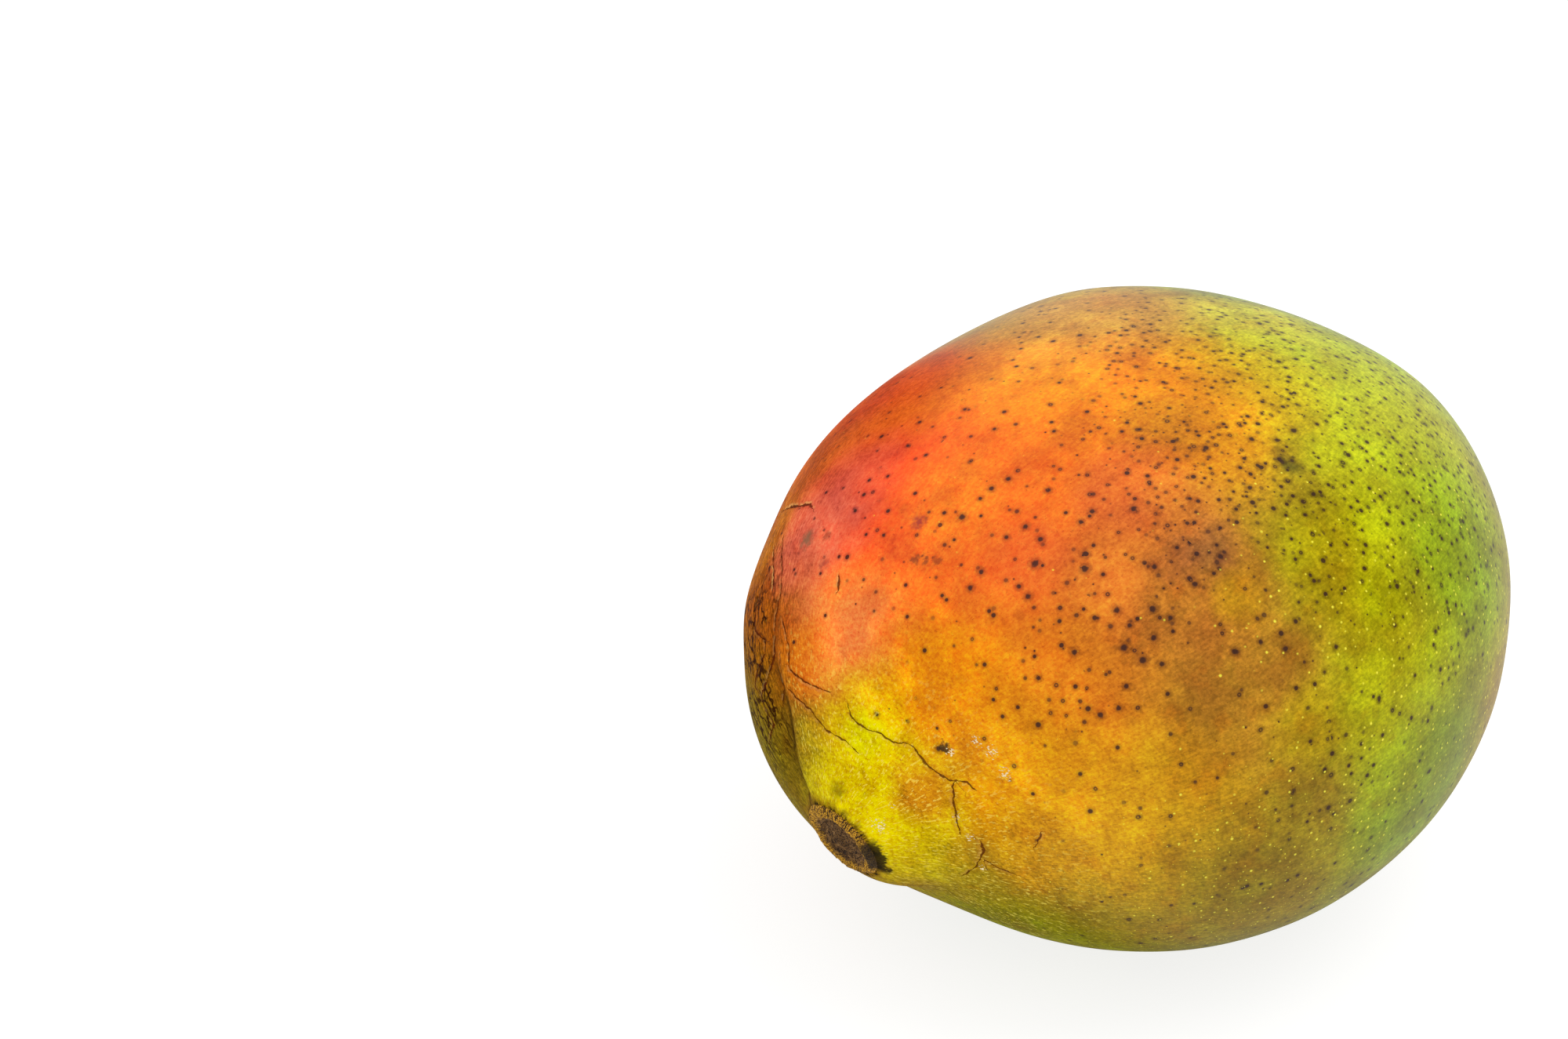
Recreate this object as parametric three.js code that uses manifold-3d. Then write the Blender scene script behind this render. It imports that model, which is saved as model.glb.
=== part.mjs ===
// A ripe mango at rest on one of its two broad cheeks, in millimetres, +Z up.
//
// The fruit is one grown solid: a slightly squarish ellipsoid, bowed sideways, drawn out into a blunt cone
// at the stalk end and creased beside it. The stalk has broken off short, and its corky stub sits in a
// shallow seat at the tip of that cone. +X runs from the stalk end to the blossom end, and the beak, a low
// point near the blossom end, is on the +Y side. The origin is under the middle, on the resting plane.

import * as THREE from 'three';
import { mergeVertices } from 'three/addons/utils/BufferGeometryUtils.js';
import Module from 'manifold-3d';

const wasm = await Module();
wasm.setup();

// Driving dimensions, in millimetres. Directions are seen from the middle of the fruit.

const halfSize = new THREE.Vector3( 58, 51.9, 41.8 );
const squareness = 2.24; // 2 would be a plain ellipsoid
const taper = 0.04; // share by which the width shrinks towards the blossom end
const sideBow = 4.6; // how far both ends bend towards +Y
const sag = 0.9; // how far both ends droop
const restBelowMiddle = 40.8; // just above the lowest skin, for a flat spot about 24 mm across

const stemDirection = new THREE.Vector3( - 0.938, 0.212, - 0.274 ).normalize();
// A broad rise round the stalk. Its spread, like every angle away from the stalk, is in radians.
const shoulder = { height: 3.4, spread: 0.184, tip: 0.05 };
// The round cone that carries the stub, which blends into the shoulder between two angles.
const neck = { slope: 0.354, radius: 6.9, sink: 0.55, inner: 0.125, outer: 0.3, reach: 57 };
// A hollow below the stalk.
const dish = { depth: 1.8, away: 0.33, spread: 0.31, turn: degrees( - 66 ), sweep: degrees( 60 ) };

// The stub stands in its seat with a gap all round it.
const stub = { radius: 6.1, height: 1.1, bevel: 0.7, rim: 1.5, recess: 4, ringPitch: 0.55, ringRelief: 0.2 };
const seat = { radius: 6.5, depth: 1.6, gap: 0.3 };

// The crease runs from beside the stub over the shoulder. It is steep on one side and wide on the other.
const crease = {
	depth: 1,
	turn: degrees( 124 ), hook: degrees( 19 ), hookFrom: degrees( 8 ), hookFade: degrees( 10 ),
	steepSide: 1.6, wideSide: 4.5,
	opens: [ degrees( 5 ), degrees( 9 ) ], closes: [ degrees( 28 ), degrees( 48 ) ],
};

// Low lumps and hollows of the grown surface: where, how high in millimetres, and how wide in radians.
const lumps = [
	{ toward: [ - 0.5, 0.8, 0.33 ], height: - 0.55, spread: 0.15 },
	{ toward: [ - 0.62, 0.78, 0.11 ], height: 0.35, spread: 0.12 },
	{ toward: [ - 0.2, 0.82, 0.54 ], height: 0.15, spread: 0.15 },
	{ toward: [ 0.19, 0.66, 0.73 ], height: - 0.35, spread: 0.18 },
	{ toward: [ 0.41, 0.47, 0.78 ], height: 0.25, spread: 0.15 },
	{ toward: [ 0.61, - 0.52, 0.59 ], height: 0.3, spread: 0.18 },
	{ toward: [ 0.61, - 0.22, 0.76 ], height: - 0.2, spread: 0.15 },
	{ toward: [ 0.84, 0.54, - 0.05 ], height: 1.8, spread: 0.16 }, // beak
	{ toward: [ 0.96, 0.28, - 0.03 ], height: - 1, spread: 0.16 }, // sinus between the beak and the tip
	{ toward: [ 0.3, 0.9, - 0.3 ], height: - 0.4, spread: 0.3 },
	{ toward: [ 0.75, - 0.55, - 0.35 ], height: 0.4, spread: 0.25 },
];

const ringsAlong = 56;
const facetsAround = 72;
const ringCrowding = 1.3; // above 1, the rings stand closer near the stalk
const stubFacets = 48;

const skinMaterial = new THREE.MeshStandardMaterial( { color: 0xd0912c, roughness: 0.42, metalness: 0 } );
const corkMaterial = new THREE.MeshStandardMaterial( { color: 0x6b4a22, roughness: 0.9, metalness: 0 } );

// The stalk's own axis and the two directions from which turns round it are counted.

const up = new THREE.Vector3( 0, 0, 1 );
const stemAxis = stemDirection.clone().divide( halfSize ).normalize();

const mango = new THREE.Group();
mango.add( makeFruit(), makeStemStub() );
standOnOrigin( mango );

function degrees( value ) {

	return THREE.MathUtils.degToRad( value );

}

function sidewaysOf( axis ) {

	return up.clone().cross( axis ).normalize();

}

function upwardsOf( axis ) {

	return axis.clone().cross( sidewaysOf( axis ) );

}

// The angle away from the stalk, and the turn round it, of a direction.
function aroundStem( direction ) {

	const sideways = direction.dot( sidewaysOf( stemDirection ) );
	const upwards = direction.dot( upwardsOf( stemDirection ) );
	return { away: stemDirection.angleTo( direction ), turn: Math.atan2( upwards, sideways ) };

}

function bell( distance, spread ) {

	return Math.exp( - ( ( distance / spread ) ** 2 ) );

}

function turnBetween( from, to ) {

	return Math.atan2( Math.sin( to - from ), Math.cos( to - from ) );

}

// The body with its shoulder and the dished underside of it, before the round neck.
function bodyPoint( direction ) {

	const { x, y, z } = direction;
	const { away, turn } = aroundStem( direction );
	const reach = ( Math.abs( x ) ** squareness + Math.abs( y ) ** squareness + Math.abs( z ) ** squareness )
		** ( - 1 / squareness );
	const point = direction.clone().multiplyScalar( reach ).multiply( halfSize );
	point.y *= 1 - taper * x;
	point.y += sideBow * ( x * x - 1 / 3 );
	point.z -= sag * ( x * x - 1 / 3 );
	const rise = shoulder.height * Math.exp( - Math.hypot( away, shoulder.tip ) / shoulder.spread );
	const hollow = dish.depth * bell( away - dish.away, dish.spread )
		* bell( turnBetween( dish.turn, turn ), dish.sweep );
	return point.addScaledVector( stemAxis, rise - hollow );

}

// The middle of the scar, level with the skin round it.
function seatCentre() {

	return bodyPoint( stemDirection ).addScaledVector( stemAxis, - neck.sink );

}

// A round, evenly sloping cone about the stalk's axis.
function neckPoint( away, turn ) {

	const radius = neck.reach * away;
	return seatCentre()
		.addScaledVector( stemAxis, neck.slope * ( neck.radius - radius ) )
		.addScaledVector( sidewaysOf( stemAxis ), radius * Math.cos( turn ) )
		.addScaledVector( upwardsOf( stemAxis ), radius * Math.sin( turn ) );

}

function creaseDepth( away, turn ) {

	const line = crease.turn + crease.hook * Math.exp( ( crease.hookFrom - away ) / crease.hookFade );
	const offset = turnBetween( line, turn ) * Math.sin( away ) * neck.reach;
	const opening = THREE.MathUtils.smoothstep( away, ...crease.opens );
	const closing = 1 - THREE.MathUtils.smoothstep( away, ...crease.closes );
	return crease.depth * opening * closing * bell( offset, offset < 0 ? crease.steepSide : crease.wideSide );

}

function skinPoint( direction ) {

	const { away, turn } = aroundStem( direction );
	const blend = 1 - THREE.MathUtils.smoothstep( away, neck.inner, neck.outer );
	const point = bodyPoint( direction ).lerp( neckPoint( away, turn ), blend );
	const outward = direction.clone().divide( halfSize ).normalize();
	for ( const { toward, height, spread } of lumps ) {

		const angle = direction.angleTo( new THREE.Vector3( ...toward ) );
		point.addScaledVector( outward, height * bell( angle, spread ) );

	}

	return point.addScaledVector( outward, - creaseDepth( away, turn ) );

}

// A sphere whose poles lie at the two ends of the stalk's direction, drawn out to the skin.
function skinGeometry() {

	const geometry = new THREE.SphereGeometry( 1, facetsAround, ringsAlong );
	const toStem = new THREE.Quaternion().setFromUnitVectors( new THREE.Vector3( 0, 1, 0 ), stemDirection );
	const position = geometry.getAttribute( 'position' );
	const direction = new THREE.Vector3();
	const spherical = new THREE.Spherical();
	for ( let i = 0; i < position.count; i ++ ) {

		spherical.setFromVector3( direction.fromBufferAttribute( position, i ) );
		spherical.phi = Math.PI * ( spherical.phi / Math.PI ) ** ringCrowding;
		direction.setFromSpherical( spherical ).applyQuaternion( toStem );
		const point = skinPoint( direction );
		position.setXYZ( i, point.x, point.y, point.z );

	}

	return geometry;

}

function lathe( profile ) {

	const points = profile.map( ( [ radius, height ] ) => new THREE.Vector2( radius, height ) );
	return new THREE.LatheGeometry( points, stubFacets );

}

// Turns a geometry's upward axis to the stalk's axis and sets it on the scar.
function placeOnSeat( object ) {

	object.quaternion.setFromUnitVectors( new THREE.Vector3( 0, 1, 0 ), stemAxis );
	object.position.copy( seatCentre() );
	object.updateMatrix();
	return object;

}

// What comes away at the stalk: the tip of the cone, and the round seat under it.
function stalkCutter() {

	const clearance = 14;
	const geometry = lathe( [
		[ 0, - seat.depth ], [ seat.radius, - seat.depth ], [ seat.radius, 0 ], [ clearance, 0 ],
		[ clearance, clearance ], [ 0, clearance ],
	] );
	return geometry.applyMatrix4( placeOnSeat( new THREE.Object3D() ).matrix );

}

// What comes away underneath, where the fruit rests.
function restCutter() {

	const size = 200;
	const thickness = 20;
	return new THREE.BoxGeometry( size, size, thickness )
		.translate( 0, 0, - restBelowMiddle - thickness / 2 );

}

function makeFruit() {

	const solid = toSolid( skinGeometry() )
		.subtract( toSolid( restCutter() ) )
		.subtract( toSolid( stalkCutter() ) );
	const fruit = new THREE.Mesh( toGeometry( solid ), skinMaterial );
	fruit.name = 'fruit';
	return fruit;

}

// The corky stub from below upwards: its foot, its raised rim, and the ringed scar sunk inside the rim.
function stubProfile() {

	const { radius, height, bevel, rim, recess, ringPitch, ringRelief } = stub;
	const foot = seat.gap - seat.depth;
	const profile = [
		[ 0, foot ], [ radius - bevel, foot ], [ radius, foot + bevel ], [ radius, height * 0.3 ],
		[ radius - bevel / 3, height * 0.8 ], [ radius - bevel, height ],
		[ radius - rim, height * 0.8 ], [ recess, 0 ],
	];
	let side = - 1;
	for ( let ring = recess - ringPitch; ring > ringPitch; ring -= ringPitch ) {

		profile.push( [ ring, side * ringRelief ] );
		side = - side;

	}

	profile.push( [ 0, 0 ] );
	return profile;

}

// The torn rim is lumpy: its radius varies a little round the stub, and its height more.
function makeStemStub() {

	const geometry = lathe( stubProfile() );
	const position = geometry.getAttribute( 'position' );
	for ( let i = 0; i < position.count; i ++ ) {

		const [ x, y, z ] = [ position.getX( i ), position.getY( i ), position.getZ( i ) ];
		const turn = Math.atan2( z, x );
		const outward = Math.hypot( x, z ) / stub.radius;
		const ragged = 1 - 0.012 * ( 1 + Math.sin( 5 * turn + 0.6 ) ) - 0.006 * ( 1 + Math.sin( 11 * turn ) );
		const uneven = 0.16 * Math.sin( 3 * turn + 1 ) + 0.1 * Math.sin( 7 * turn );
		position.setXYZ( i, x * ragged, y + Math.max( y, 0 ) * outward * uneven, z * ragged );

	}

	const stemStub = new THREE.Mesh( toGeometry( toSolid( geometry ) ), corkMaterial );
	stemStub.name = 'stem_stub';
	return placeOnSeat( stemStub );

}

// Moves the whole so that the middle of its footprint box lies at the origin.
function standOnOrigin( group ) {

	const box = new THREE.Box3().setFromObject( group, true );
	const middle = box.getCenter( new THREE.Vector3() );
	group.position.set( - middle.x, - middle.y, - box.min.z );

}

// A closed geometry, with its shared corners merged and its empty triangles left out, as a solid.
function toSolid( geometry ) {

	geometry.deleteAttribute( 'normal' );
	geometry.deleteAttribute( 'uv' );
	const merged = mergeVertices( geometry );
	const index = merged.getIndex().array;
	const corners = [];
	for ( let i = 0; i < index.length; i += 3 ) {

		const [ a, b, c ] = [ index[ i ], index[ i + 1 ], index[ i + 2 ] ];
		if ( a !== b && b !== c && c !== a ) corners.push( a, b, c );

	}

	return new wasm.Manifold( new wasm.Mesh( {
		numProp: 3,
		vertProperties: Float32Array.from( merged.getAttribute( 'position' ).array ),
		triVerts: Uint32Array.from( corners ),
	} ) );

}

function toGeometry( solid ) {

	const { vertProperties, triVerts } = solid.getMesh();
	const geometry = new THREE.BufferGeometry();
	geometry.setAttribute( 'position', new THREE.BufferAttribute( vertProperties, 3 ) );
	geometry.setIndex( new THREE.BufferAttribute( triVerts, 1 ) );
	geometry.computeVertexNormals();
	return geometry;

}

export default mango;
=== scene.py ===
import math
import bmesh
import bpy
import numpy as np
from mathutils import Matrix, Vector, noise


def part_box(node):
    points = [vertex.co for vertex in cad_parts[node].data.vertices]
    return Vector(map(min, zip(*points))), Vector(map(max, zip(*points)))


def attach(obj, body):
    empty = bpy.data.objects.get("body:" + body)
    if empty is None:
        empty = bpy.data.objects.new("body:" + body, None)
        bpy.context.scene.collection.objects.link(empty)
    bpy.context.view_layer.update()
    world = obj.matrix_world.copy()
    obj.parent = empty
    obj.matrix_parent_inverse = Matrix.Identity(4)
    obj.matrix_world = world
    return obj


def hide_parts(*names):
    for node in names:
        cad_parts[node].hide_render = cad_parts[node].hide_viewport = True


# A whole ripe mango, resting on one cheek, with the corky stub that its stalk left.
# Shapes are worked out in millimetres about the middle of the fruit, and set down in metres.

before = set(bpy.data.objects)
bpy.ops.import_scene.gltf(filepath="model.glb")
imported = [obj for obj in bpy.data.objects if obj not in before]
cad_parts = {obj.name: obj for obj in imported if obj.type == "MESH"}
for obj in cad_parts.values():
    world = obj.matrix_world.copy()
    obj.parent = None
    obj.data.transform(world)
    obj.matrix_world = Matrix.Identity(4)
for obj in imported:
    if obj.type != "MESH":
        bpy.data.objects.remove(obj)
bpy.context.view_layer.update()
mm = 0.001
farOff = 99.0  # a distance beyond all reach

# The same body as the frame's fruit, from the same values. Angles away from the stalk are in radians.
body = {
    "halfSize": (58.0, 51.9, 41.8),
    "squareness": 2.24,
    "taper": 0.04,
    "sideBow": 4.6,
    "sag": 0.9,
    "restBelowMiddle": 40.8,
    "stemDirection": (-0.938, 0.212, -0.274),
    "shoulder": {"height": 3.4, "spread": 0.184, "tip": 0.05},
    "neck": {"slope": 0.354, "radius": 6.9, "sink": 0.55, "inner": 0.125, "outer": 0.3, "reach": 57.0},
    "lip": {"radius": 6.45, "inside": 5.5, "depth": 1.5},
    "dish": {"depth": 1.8, "away": 0.33, "spread": 0.31, "turn": -66, "sweep": 60},
    "lumps": (  # toward, height, spread
        ((-0.5, 0.8, 0.33), -0.55, 0.15),
        ((-0.62, 0.78, 0.11), 0.35, 0.12),
        ((-0.2, 0.82, 0.54), 0.15, 0.15),
        ((0.19, 0.66, 0.73), -0.35, 0.18),
        ((0.41, 0.47, 0.78), 0.25, 0.15),
        ((0.61, -0.52, 0.59), 0.3, 0.18),
        ((0.61, -0.22, 0.76), -0.2, 0.15),
        ((0.84, 0.54, -0.05), 1.8, 0.16),
        ((0.96, 0.28, -0.03), -1.0, 0.16),
        ((0.3, 0.9, -0.3), -0.4, 0.3),
        ((0.75, -0.55, -0.35), 0.4, 0.25),
    ),
}

# The crease beside the stub, as in the frame's fruit: turns in degrees, widths in millimetres.
crease = {
    "depth": 1.0, "turn": 124, "hook": 19, "hookFrom": 8, "hookFade": 10,
    "steepSide": 1.6, "wideSide": 4.5, "opens": (5, 9), "closes": (24, 44),
    "wobble": 0.7, "wobbleRate": 19, "known": 30,
}


def unit(vector):
    return np.array(vector, float) / np.linalg.norm(vector)


halfSize = np.array(body["halfSize"])
stemDirection = unit(body["stemDirection"])
stemAxis = unit(stemDirection / halfSize)


def sidewaysOf(axis):
    return unit(np.cross((0, 0, 1), axis))


def upwardsOf(axis):
    return np.cross(axis, sidewaysOf(axis))


def smooth(value, start, end):
    share = np.clip((value - start) / (end - start), 0, 1)
    return share * share * (3 - 2 * share)


def bell(distance, spread):
    return np.exp(-((distance / spread) ** 2))


def turnBetween(start, end):
    return np.arctan2(np.sin(end - start), np.cos(end - start))


# Away is the angle from the stalk's direction, and turn the angle round it.
def radial(axis, turn):
    return np.cos(turn)[:, None] * sidewaysOf(axis) + np.sin(turn)[:, None] * upwardsOf(axis)


def towards(away, turn):
    return np.cos(away)[:, None] * stemDirection + np.sin(away)[:, None] * radial(stemDirection, turn)


def bodyPoints(away, turn):
    shoulder, dish = body["shoulder"], body["dish"]
    directions = towards(away, turn)
    reach = (np.abs(directions) ** body["squareness"]).sum(1) ** (-1 / body["squareness"])
    points = directions * reach[:, None] * halfSize
    x = directions[:, 0]
    points[:, 1] = points[:, 1] * (1 - body["taper"] * x) + body["sideBow"] * (x * x - 1 / 3)
    points[:, 2] -= body["sag"] * (x * x - 1 / 3)
    rise = shoulder["height"] * np.exp(-np.hypot(away, shoulder["tip"]) / shoulder["spread"])
    hollow = dish["depth"] * bell(away - dish["away"], dish["spread"])
    hollow *= bell(turnBetween(np.radians(dish["turn"]), turn), np.radians(dish["sweep"]))
    return points + (rise - hollow)[:, None] * stemAxis


seatCentre = bodyPoints(np.zeros(1), np.zeros(1))[0] - body["neck"]["sink"] * stemAxis


def creaseOffset(away, turn):  # across the crease, positive on its wide side
    fade = np.exp((np.radians(crease["hookFrom"]) - away) / np.radians(crease["hookFade"]))
    line = np.radians(crease["turn"]) + np.radians(crease["hook"]) * fade
    wobble = crease["wobble"] * np.sin(away * crease["wobbleRate"])
    wobble *= smooth(away, *np.radians(crease["opens"]))
    return turnBetween(line, turn) * np.sin(away) * body["neck"]["reach"] + wobble


def creaseStrength(away):
    opening = smooth(away, *np.radians(crease["opens"]))
    return opening * (1 - smooth(away, *np.radians(crease["closes"])))


def neckPoints(away, turn):  # the cone, and the lip that turns in under the stub
    neck, lip = body["neck"], body["lip"]
    radius = neck["reach"] * away
    height = neck["slope"] * (neck["radius"] - np.maximum(radius, lip["radius"]))
    height -= lip["depth"] * (1 - smooth(radius, lip["inside"], lip["radius"]))
    return seatCentre + height[:, None] * stemAxis + radius[:, None] * radial(stemAxis, turn)


def skinPoints(away, turn):
    neck = body["neck"]
    blend = (1 - smooth(away, neck["inner"], neck["outer"]))[:, None]
    points = bodyPoints(away, turn) * (1 - blend) + neckPoints(away, turn) * blend
    directions = towards(away, turn)
    outward = directions / halfSize
    outward /= np.linalg.norm(outward, axis=1)[:, None]
    height = np.zeros(len(away))
    for toward, rise, spread in body["lumps"]:
        height += rise * bell(np.arccos(np.clip(directions @ unit(toward), -1, 1)), spread)
    offset = creaseOffset(away, turn)
    width = np.where(offset < 0, crease["steepSide"], crease["wideSide"])
    height -= crease["depth"] * creaseStrength(away) * bell(offset, width)
    return points + height[:, None] * outward, outward


def coordinatesOf(mesh):
    places = np.empty(len(mesh.vertices) * 3)
    mesh.vertices.foreach_get("co", places)
    return places.reshape(-1, 3)


def keep(mesh, name, *columns):  # a vector for each vertex, for the finishes to read
    values = np.zeros((len(mesh.vertices), 3), np.float32)
    values[:, :len(columns)] = np.stack(columns, 1)
    mesh.attributes.new(name, "FLOAT_VECTOR", "POINT").data.foreach_set("vector", values.ravel())


def settle(name, mesh, finish, node):
    mesh.materials.append(finish)
    mesh.shade_smooth()
    piece = bpy.data.objects.new(name, mesh)
    bpy.context.collection.objects.link(piece)
    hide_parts(node)
    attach(piece, "root")


# Marks on the skin are placed by degrees away from the stalk and degrees of turn round it.
cracks = {
    "depth": 0.16,
    "width": 0.45,
    "reach": (1.2, 2.2),
    "runsOut": 0.5,
    "tapers": (0.35, 0.65),
    "lines": (  # width, how far its edge has lifted, corners
        (1.0, 0.3, ((27.5, 120), (26.5, 117), (24.5, 108), (21.8, 100), (21.4, 90), (20.3, 81))),
        (1.0, 0.4, ((39.5, 121), (37.8, 119.6), (34, 117), (31, 118), (30.2, 115), (29, 108), (29.1, 98))),
        (0.8, 0.2, ((28.5, 91), (26.2, 88), (25.6, 82), (26.4, 76), (26.2, 70), (27.9, 66), (28, 63))),
        (1.3, 0.2, ((28, 63.5), (27.1, 59), (26.8, 54), (27.9, 47), (29.7, 45), (29.9, 41))),
        (1.1, 0.3, ((28, 46.5), (25.2, 40), (23.8, 34.5), (22.1, 24))),
        (1.0, 0.3, ((24.6, 20), (23.8, 13.5), (21.2, 2), (18.5, -8))),
        (0.9, 0.2, ((22.8, 10), (25, 4), (27.5, 1))),
        (0.9, 0.2, ((32, 15.5), (34.2, 21))),
        (1.2, 0.3, ((53, 127.5), (47, 123.5), (43.5, 122.6), (39, 124.6), (33.1, 127.7), (28.9, 136.2),
                    (27, 144.7), (21.7, 142), (20.3, 159))),
        (1.2, 0.9, ((57.2, 119), (58.4, 121.5), (58.2, 125), (58.5, 130), (58.9, 137))),
        (1.4, 0.9, ((48.4, 104.6), (46.9, 103.6), (45.6, 103.2))),
    ),
    "nearLines": (
        (1.1, 0.9, ((52, 131.5), (46.4, 127.2), (43, 126.5))),
        (1.2, 0.2, ((47.8, 130.5), (44.6, 134), (41, 137.5), (38.2, 138.7), (35.8, 131.5), (33.5, 133.5),
                    (31.5, 140), (29.5, 147.6), (27.7, 144.8))),
        (0.9, 0.2, ((38.2, 138.7), (36.5, 146), (34.6, 150), (31.5, 149))),
        (0.8, 0.3, ((33.5, 122), (30.5, 124), (27, 127), (24, 131))),
    ),
}


spots = (  # the largest pores: away, turn, radius
    (81.8, 97.3, 0.42), (79.8, 103.6, 0.38), (75.4, 109.1, 0.36), (70.3, 102.2, 0.38),
    (78.4, 95.8, 0.34), (82.3, 87.8, 0.34), (72.1, 86.6, 0.42), (69.6, 87.5, 0.44),
    (67.5, 87.7, 0.36), (63.8, 87.9, 0.52), (65.2, 105.9, 0.34), (58.5, 107.8, 0.34),
    (73.5, 80.1, 0.46), (67.2, 78.1, 0.46), (66.8, 74.7, 0.46), (64.4, 79.2, 0.4),
    (63.5, 72.3, 0.6), (59.5, 71.4, 0.4), (59.1, 69.0, 0.48), (55.4, 77.9, 0.46),
    (58.2, 78.3, 0.46), (56.4, 98.8, 0.34), (74.3, 72.3, 0.44), (72.1, 72.2, 0.4),
    (78.1, 68.3, 0.48), (68.7, 67.8, 0.52), (67.0, 65.9, 0.55), (73.1, 59.1, 0.46),
    (74.9, 53.2, 0.48), (80.2, 54.1, 0.46), (68.5, 54.1, 0.56), (69.2, 51.3, 0.42),
    (65.2, 57.4, 0.5), (64.8, 54.2, 0.4), (65.7, 50.3, 0.48), (62.0, 51.8, 0.55),
    (62.5, 48.3, 0.56), (63.9, 46.0, 0.46), (57.0, 56.2, 0.46), (55.5, 43.4, 0.42),
    (53.0, 44.0, 0.46), (58.4, 46.1, 0.4), (50.8, 56.4, 0.4), (72.0, 41.2, 0.46),
    (77.4, 36.9, 0.46), (75.5, 40.1, 0.42), (91.3, 59.4, 0.44), (98.7, 65.3, 0.48),
    (101.4, 62.6, 0.46), (98.6, 60.0, 0.5), (105.1, 62.2, 0.56), (95.3, 60.8, 0.44),
    (97.5, 52.5, 0.4), (92.7, 68.7, 0.46), (98.3, 70.2, 0.4), (30.9, 58.0, 0.46),
    (29.3, 79.7, 0.38), (92.6, 28.3, 0.4), (83.1, 32.2, 0.4), (98.5, 21.4, 0.4),
)


def flat(away, turn):  # a map of the skin about the stalk, in millimetres
    return np.stack([away * np.cos(turn), away * np.sin(turn)], 1) * body["neck"]["reach"]


def crackDistance(lines, away, turn):  # signed distance to the nearest line, its strength and its lift
    places = flat(away, turn)
    thin, thick = cracks["tapers"]
    nearest, signed = np.full(len(away), farOff), np.full(len(away), farOff)
    strength, lift = np.zeros(len(away)), np.zeros(len(away))
    for width, lifted, line in lines:
        corners = flat(*np.radians(np.array(line, float)).T)
        lengths = np.linalg.norm(np.diff(corners, axis=0), axis=1)
        before = np.concatenate([[0], np.cumsum(lengths)])
        for i, length in enumerate(lengths):
            along = (corners[i + 1] - corners[i]) / length
            offset = places - corners[i]
            run = np.clip(offset @ along, 0, length)
            side = offset[:, 0] * along[1] - offset[:, 1] * along[0]
            distance = np.linalg.norm(offset - run[:, None] * along, axis=1)
            share = (before[i] + run) / before[-1]
            beyond = np.where(share * (1 - share) <= 0, distance, 0)
            closer = distance < nearest
            nearest = np.where(closer, distance, nearest)
            signed = np.where(closer, np.where(side < 0, -distance, distance), signed)
            taper = thin + thick * np.sin(np.pi * np.clip(share, 0, 1)) ** 0.5
            full = (1 - smooth(beyond, 0, cracks["runsOut"])) * taper
            strength = np.where(closer, full * width, strength)
            lift = np.where(closer, full * lifted, lift)
    near = 1 - smooth(nearest, *cracks["reach"])
    return signed, strength * near, lift * near


skinMesh = {
    "segments": 340, "rings": 288, "crowding": 1.25,
    "rippleSize": 14, "ripple": 0.16, "rippleFrom": (0.15, 0.35),
}


def makeSkin():
    bm = bmesh.new()
    bmesh.ops.create_uvsphere(bm, u_segments=skinMesh["segments"], v_segments=skinMesh["rings"], radius=1)
    mesh = bpy.data.meshes.new("skin")
    bm.to_mesh(mesh)
    bm.free()
    ball = coordinatesOf(mesh)
    away = np.pi * (np.arccos(np.clip(ball[:, 2], -1, 1)) / np.pi) ** skinMesh["crowding"]
    turn = np.arctan2(ball[:, 1], ball[:, 0])
    points, outward = skinPoints(away, turn)
    crackLines = crackDistance(cracks["lines"], away, turn)
    nearLines = crackDistance(cracks["nearLines"], away, turn)
    height = np.array([noise.noise(Vector(place) / skinMesh["rippleSize"]) for place in points])
    height *= skinMesh["ripple"] * smooth(away, *skinMesh["rippleFrom"])
    for signed, strength, lift in (crackLines, nearLines):
        height = height - cracks["depth"] * strength * bell(signed, cracks["width"])
    points += height[:, None] * outward
    points[:, 2] = np.maximum(points[:, 2], -body["restBelowMiddle"])
    high = points.max(0)
    _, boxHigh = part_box("fruit")
    middle = np.array([boxHigh.x / mm - high[0], boxHigh.y / mm - high[1], body["restBelowMiddle"]])
    mesh.vertices.foreach_set("co", ((points + middle) * mm).ravel())
    keep(mesh, "stalk", body["neck"]["reach"] * away, np.cos(turn), np.sin(turn))
    offset = np.clip(creaseOffset(away, turn), -crease["known"], crease["known"])
    keep(mesh, "crease", offset, creaseStrength(away))
    keep(mesh, "crack", *crackLines)
    keep(mesh, "nearCrack", *nearLines)
    keep(mesh, "outward", *outward.T)
    mesh.update()
    return mesh, middle


class Value:  # a socket that can be used in sums
    def __init__(self, finish, socket):
        self.finish = finish
        self.socket = socket

    def sum(self, operation, first, second):
        return self.finish.sum(operation, first, second)

    def __add__(self, other):
        return self.sum("ADD", self, other)

    def __radd__(self, other):
        return self.sum("ADD", other, self)

    def __sub__(self, other):
        return self.sum("SUBTRACT", self, other)

    def __rsub__(self, other):
        return self.sum("SUBTRACT", other, self)

    def __mul__(self, other):
        return self.sum("MULTIPLY", self, other)

    def __rmul__(self, other):
        return self.sum("MULTIPLY", other, self)

    def __truediv__(self, other):
        return self.sum("DIVIDE", self, other)

    def __pow__(self, other):
        return self.sum("POWER", self, other)

    def __abs__(self):
        return self.sum("ABSOLUTE", self, 0)


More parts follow.
